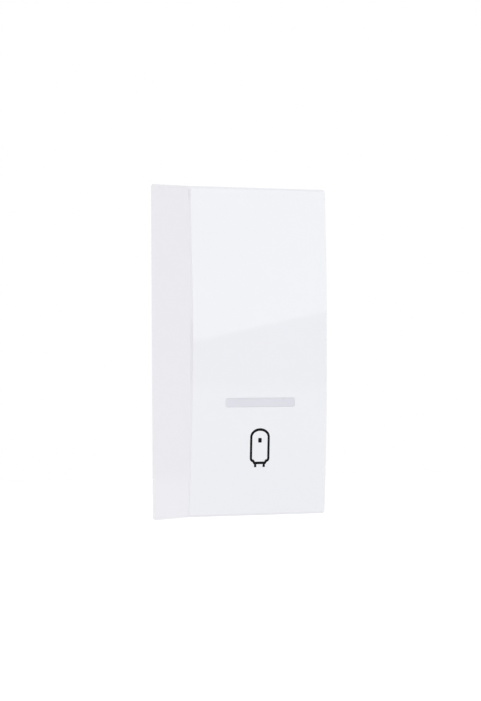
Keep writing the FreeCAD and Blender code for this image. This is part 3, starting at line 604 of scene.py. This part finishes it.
def lights():
    """Front panel, whose lower edge shows as the line across the key, one at the left and one above."""
    start = FRONT_START_POINT + direction(*FRONT_START_WAY) * LAMP_DISTANCE
    end = FRONT_END_POINT + direction(*FRONT_END_WAY) * LAMP_DISTANCE
    shift = (end - start).normalized() * FRONT_SHIFT
    soft_light("front_panel", start + shift, end + shift, FRONT_SIZE, FRONT_RADIANCE, FRONT_TINT)
    start, end = (direction(azimuth, SIDE_ELEVATION) * LAMP_DISTANCE for azimuth in SIDE_AZIMUTHS)
    soft_light("side_panel", start, end, SIDE_SIZE, SIDE_RADIANCE)
    start, end = (direction(azimuth, TOP_ELEVATION) * LAMP_DISTANCE for azimuth in TOP_AZIMUTHS)
    soft_light("top_panel", start, end, TOP_SIZE, TOP_RADIANCE)


def stage_plate(name, corners, finish):
    """Flat piece of the studio."""
    mesh = bpy.data.meshes.new(name)
    mesh.from_pydata(corners, [], [(0, 1, 2, 3)])
    mesh.materials.append(finish.material)
    piece = bpy.data.objects.new(name, mesh)
    bpy.context.scene.collection.objects.link(piece)
    return piece


def dark_card():
    """Card that shows in reflections only."""
    half = CARD_WIDTH / 2
    rise = CARD_HEIGHT / 2
    corners = [(-half, -rise, 0), (half, -rise, 0), (half, rise, 0), (-half, rise, 0)]
    black = plastic("card_black", linear(20, 20, 20), linear(26, 26, 26), (0.8, 0.9))
    card = stage_plate("dark_card", corners, black)
    away = direction(CARD_AZIMUTH, 0)
    up = Vector((0, 0, 1))
    turn = Matrix((up.cross(away), up, away)).transposed().to_4x4()
    card.matrix_world = Matrix.Translation(away * LAMP_DISTANCE) @ turn
    card.visible_camera = False
    card.visible_diffuse = False
    card.visible_shadow = False


def background_ray(tree):
    """1 on the rays that show the background: from the camera, in gloss and through clear pieces."""
    path = tree.nodes.new("ShaderNodeLightPath")
    total = path.outputs["Is Camera Ray"]
    for name in ("Is Glossy Ray", "Is Transmission Ray"):
        total = computed(tree, "MAXIMUM", total, path.outputs[name])
    return total


def white_world():
    """White surroundings that light the object softly."""
    world = bpy.data.worlds.new("white_studio")
    bpy.context.scene.world = world
    world.use_nodes = True
    tree = world.node_tree
    tree.nodes.clear()
    seen = add_node(tree, "ShaderNodeBackground", Color=(1, 1, 1, 1), Strength=1.0)
    felt = add_node(tree, "ShaderNodeBackground", Color=(1, 1, 1, 1), Strength=AMBIENT)
    mix = tree.nodes.new("ShaderNodeMixShader")
    output = tree.nodes.new("ShaderNodeOutputWorld")
    tree.links.new(background_ray(tree), mix.inputs[0])
    tree.links.new(felt.outputs[0], mix.inputs[1])
    tree.links.new(seen.outputs[0], mix.inputs[2])
    tree.links.new(mix.outputs[0], output.inputs["Surface"])


def clear_from_behind(tree, shader):
    """Lets the camera look through a surface from its rear side."""
    mix = tree.nodes.new("ShaderNodeMixShader")
    geometry = tree.nodes.new("ShaderNodeNewGeometry")
    clear = tree.nodes.new("ShaderNodeBsdfTransparent")
    tree.links.new(geometry.outputs["Backfacing"], mix.inputs[0])
    tree.links.new(shader.outputs[0], mix.inputs[1])
    tree.links.new(clear.outputs[0], mix.inputs[2])
    tree.links.new(mix.outputs[0], tree.nodes["Material Output"].inputs["Surface"])


def floor():
    """Pale floor that reads as white away from the object and keeps its shadow."""
    finish = Finish("pale_floor", (0.92, 0.92, 0.92, 1), (0.94, 0.94, 0.94, 1), (0.7, 0.8), 6.0)
    finish.grain(300.0, 2e-5)
    tree = finish.tree
    away = tree.nodes.new("ShaderNodeVectorMath")
    away.operation = "LENGTH"
    tree.links.new(finish.place, away.inputs[0])
    distance = away.outputs["Value"]
    glow = ranged(tree, distance, FLOOR_NEAR_GLOW, FLOOR_FAR_GLOW, FLOOR_NEAR_RADIUS, FLOOR_FAR_RADIUS)
    strength = ranged(tree, background_ray(tree), FLOOR_BOUNCE, glow, 0.0, 1.0)
    finish.shader.inputs["Emission Color"].default_value = (1, 1, 1, 1)
    tree.links.new(strength, finish.shader.inputs["Emission Strength"])
    clear_from_behind(tree, finish.shader)
    half = FLOOR_SIZE / 2
    corners = [(x * half, y * half, FLOOR_Z) for x, y in ((-1, -1), (1, -1), (1, 1), (-1, 1))]
    stage_plate("floor", corners, finish)


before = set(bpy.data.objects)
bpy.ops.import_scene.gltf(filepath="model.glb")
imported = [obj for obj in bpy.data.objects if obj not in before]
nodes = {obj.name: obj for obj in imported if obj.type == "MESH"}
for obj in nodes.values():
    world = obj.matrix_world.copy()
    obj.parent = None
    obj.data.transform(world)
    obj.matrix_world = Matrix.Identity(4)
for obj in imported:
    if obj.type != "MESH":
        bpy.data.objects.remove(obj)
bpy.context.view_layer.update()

housing = plastic("housing_white", linear(219, 220, 218), linear(213, 214, 212))
brass = metal("brass", linear(214, 180, 104), linear(190, 152, 82))
brass.brushed(BRUSHED_ALONG_Z, 3000.0, 2e-6)
clamp_brass = metal("clamp_brass", linear(206, 174, 106), linear(184, 150, 86))
clamp_brass.brushed(BRUSHED_ALONG_X, 2500.0, 5e-6)
silver = metal("contact_silver", linear(222, 222, 218), linear(198, 198, 196))

assign(key_white(), "key_cap")
assign(milky_lens(), "light_guide")
carrier_plastic = plastic("carrier_plastic", linear(236, 236, 234), linear(230, 230, 228))
assign(carrier_plastic, "key_carrier", "contact_cover")
assign(housing, "base_housing", "rear_cover")
assign(plastic("plunger_black", linear(38, 38, 42), linear(50, 50, 54)), "plunger")
drawn_steel = metal("drawn_steel", linear(190, 192, 196), linear(170, 172, 178))
drawn_steel.brushed(BRUSHED_ALONG_X, 2500.0, 3e-6)
assign(drawn_steel, "hinge_pin")
assign(screw_steel("cover_screw_steel", "Y", COVER_SHANK), "contact_cover_screws")
assign(screw_steel("rear_screw_steel", "Y", REAR_SHANK), "rear_cover_screw")
assign(screw_steel("terminal_screw_steel", "Z"), "terminal_screws")
spring_steel = metal("spring_steel", linear(150, 152, 156), linear(176, 178, 182))
assign(spring_steel, "plunger_springs", "contact_pressure_spring")
assign(clamp_brass, "terminal_clamps")
assign(brass, "load_contact_strap", "line_contact_strap", "bridge_contact", "lamp_straps")
assign(silver, "bridge_contact_tips", "fixed_contact_tips")
assign(board_laminate(), "circuit_board")
assign(lamp_led(), "indicator_led")
assign(chip_resistor(), "led_resistor")
assign(moulded_diode(), "led_diode")
rubber_black = plastic("rubber_black", linear(28, 28, 29), linear(38, 38, 38), (0.75, 0.85), 1.2e-5)
assign(rubber_black, "stop_buffers")

symbol_ink = plastic(
    "symbol_ink", linear(14, 14, 16), linear(20, 20, 22), (0.5, 0.6), 1e-6, Specular_IOR_Level=0.08
)
key_symbol(symbol_ink)
terminal_numbers(housing)
lamp_pin_solder(metal("solder", linear(200, 200, 202), linear(184, 184, 188), (0.15, 0.25)))
floor()
dark_card()
white_world()
lights()
place_camera()
bpy.context.scene.view_settings.view_transform = "Standard"
